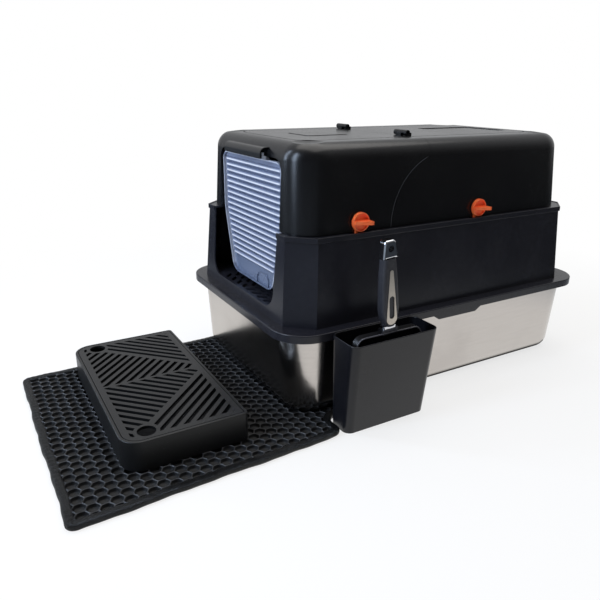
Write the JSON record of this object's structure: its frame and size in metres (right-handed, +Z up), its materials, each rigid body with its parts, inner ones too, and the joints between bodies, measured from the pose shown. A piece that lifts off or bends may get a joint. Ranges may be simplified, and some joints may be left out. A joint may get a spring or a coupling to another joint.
{
  "type": "litter box",
  "caption": "Enclosed litter box: steel pan, clip-on high collar, split flip-up hood with swing flap and turn locks; scoop in its holder, entry step and honeycomb mat.",
  "frame": {"origin": "centre of the steel pan's underside, on the floor", "axes": "+Z up, the doorway faces -Y, +X is the box's long side where the scoop holder stands"},
  "size_m": [0.4509, 0.928, 0.4015],
  "materials": {
    "steel": "fine brushed",
    "black_plastic": "fine satin",
    "hood_plastic": "fine matt",
    "clear_flap": "translucent smoke",
    "orange_plastic": "satin",
    "chrome": "polished",
    "grip_rubber": "soft matt",
    "inlay_metal": "satin",
    "pin_steel": "plain",
    "mat_foam": "soft foam",
    "binding_fabric": "shiny woven tape"
  },
  "bodies": {
    "pan": {"steel_pan": "steel"},
    "collar": {"collar": "black_plastic", "entry_grille": "black_plastic"},
    "rear_hood": {"hood_rear": "hood_plastic", "hood_hinge_pins": "pin_steel"},
    "front_hood": {"hood_front": "hood_plastic", "flap_axle": "pin_steel"},
    "flap": {"door_flap": "clear_flap"},
    "holder": {"scoop_holder": "black_plastic"},
    "scoop": {"scoop_head": "black_plastic", "scoop_ferrule": "chrome", "scoop_grip": "grip_rubber", "scoop_inlay": "inlay_metal", "scoop_end_cap": "chrome", "scoop_tang": "pin_steel"},
    "mat": {"mat_base": "mat_foam", "mat_honeycomb": "mat_foam", "mat_binding": "binding_fabric"},
    "step": {"step_base": "black_plastic"},
    "step_cover": {"step_grille": "black_plastic"},
    "lock_right_front": {"lock_knob_right_front": "orange_plastic", "lock_cam_right_front": "black_plastic"},
    "lock_right_rear": {"lock_knob_right_rear": "orange_plastic", "lock_cam_right_rear": "black_plastic"},
    "lock_left_front": {"lock_knob_left_front": "orange_plastic", "lock_cam_left_front": "black_plastic"},
    "lock_left_rear": {"lock_knob_left_rear": "orange_plastic", "lock_cam_left_rear": "black_plastic"}
  },
  "joints": [
    {"name": "collar_lift", "type": "slide", "parent": "pan", "child": "collar", "axis": [0, 0, 1], "range_m": [0, 0.18]},
    {"name": "hood_lift", "type": "slide", "parent": "collar", "child": "rear_hood", "axis": [0, 0, 1], "range_m": [0, 0.18]},
    {"name": "hood_flip", "type": "hinge", "parent": "rear_hood", "child": "front_hood", "pos_m": [0, -0.0442, 0.39725], "axis": [-1, 0, 0], "range_deg": [0, 170]},
    {"name": "flap_swing", "type": "hinge", "parent": "front_hood", "child": "flap", "pos_m": [0, -0.2635, 0.37], "axis": [1, 0, 0], "range_deg": [-45, 70]},
    {"name": "lock_turn_right_front", "type": "hinge", "parent": "front_hood", "child": "lock_right_front", "pos_m": [0.163, -0.174, 0.284], "axis": [1, 0, 0], "range_deg": [0, 90]},
    {"name": "lock_turn_right_rear", "type": "hinge", "parent": "rear_hood", "child": "lock_right_rear", "pos_m": [0.163, 0.0565, 0.284], "axis": [1, 0, 0], "range_deg": [0, 90]},
    {"name": "lock_turn_left_front", "type": "hinge", "parent": "front_hood", "child": "lock_left_front", "pos_m": [-0.163, -0.174, 0.284], "axis": [1, 0, 0], "range_deg": [0, 90]},
    {"name": "lock_turn_left_rear", "type": "hinge", "parent": "rear_hood", "child": "lock_left_rear", "pos_m": [-0.163, 0.0565, 0.284], "axis": [1, 0, 0], "range_deg": [0, 90]},
    {"name": "holder_lift", "type": "slide", "parent": "pan", "child": "holder", "axis": [0, 0, 1], "range_m": [0, 0.18]},
    {"name": "scoop_lift", "type": "slide", "parent": "holder", "child": "scoop", "axis": [0, 0, 1], "range_m": [0, 0.2]},
    {"name": "mat_pull", "type": "slide", "parent": "pan", "child": "mat", "axis": [0, -1, 0], "range_m": [0, 0.3]},
    {"name": "step_lift", "type": "slide", "parent": "mat", "child": "step", "axis": [0, 0, 1], "range_m": [0, 0.12]},
    {"name": "step_cover_lift", "type": "slide", "parent": "step", "child": "step_cover", "axis": [0, 0, 1], "range_m": [0, 0.1]}
  ]
}
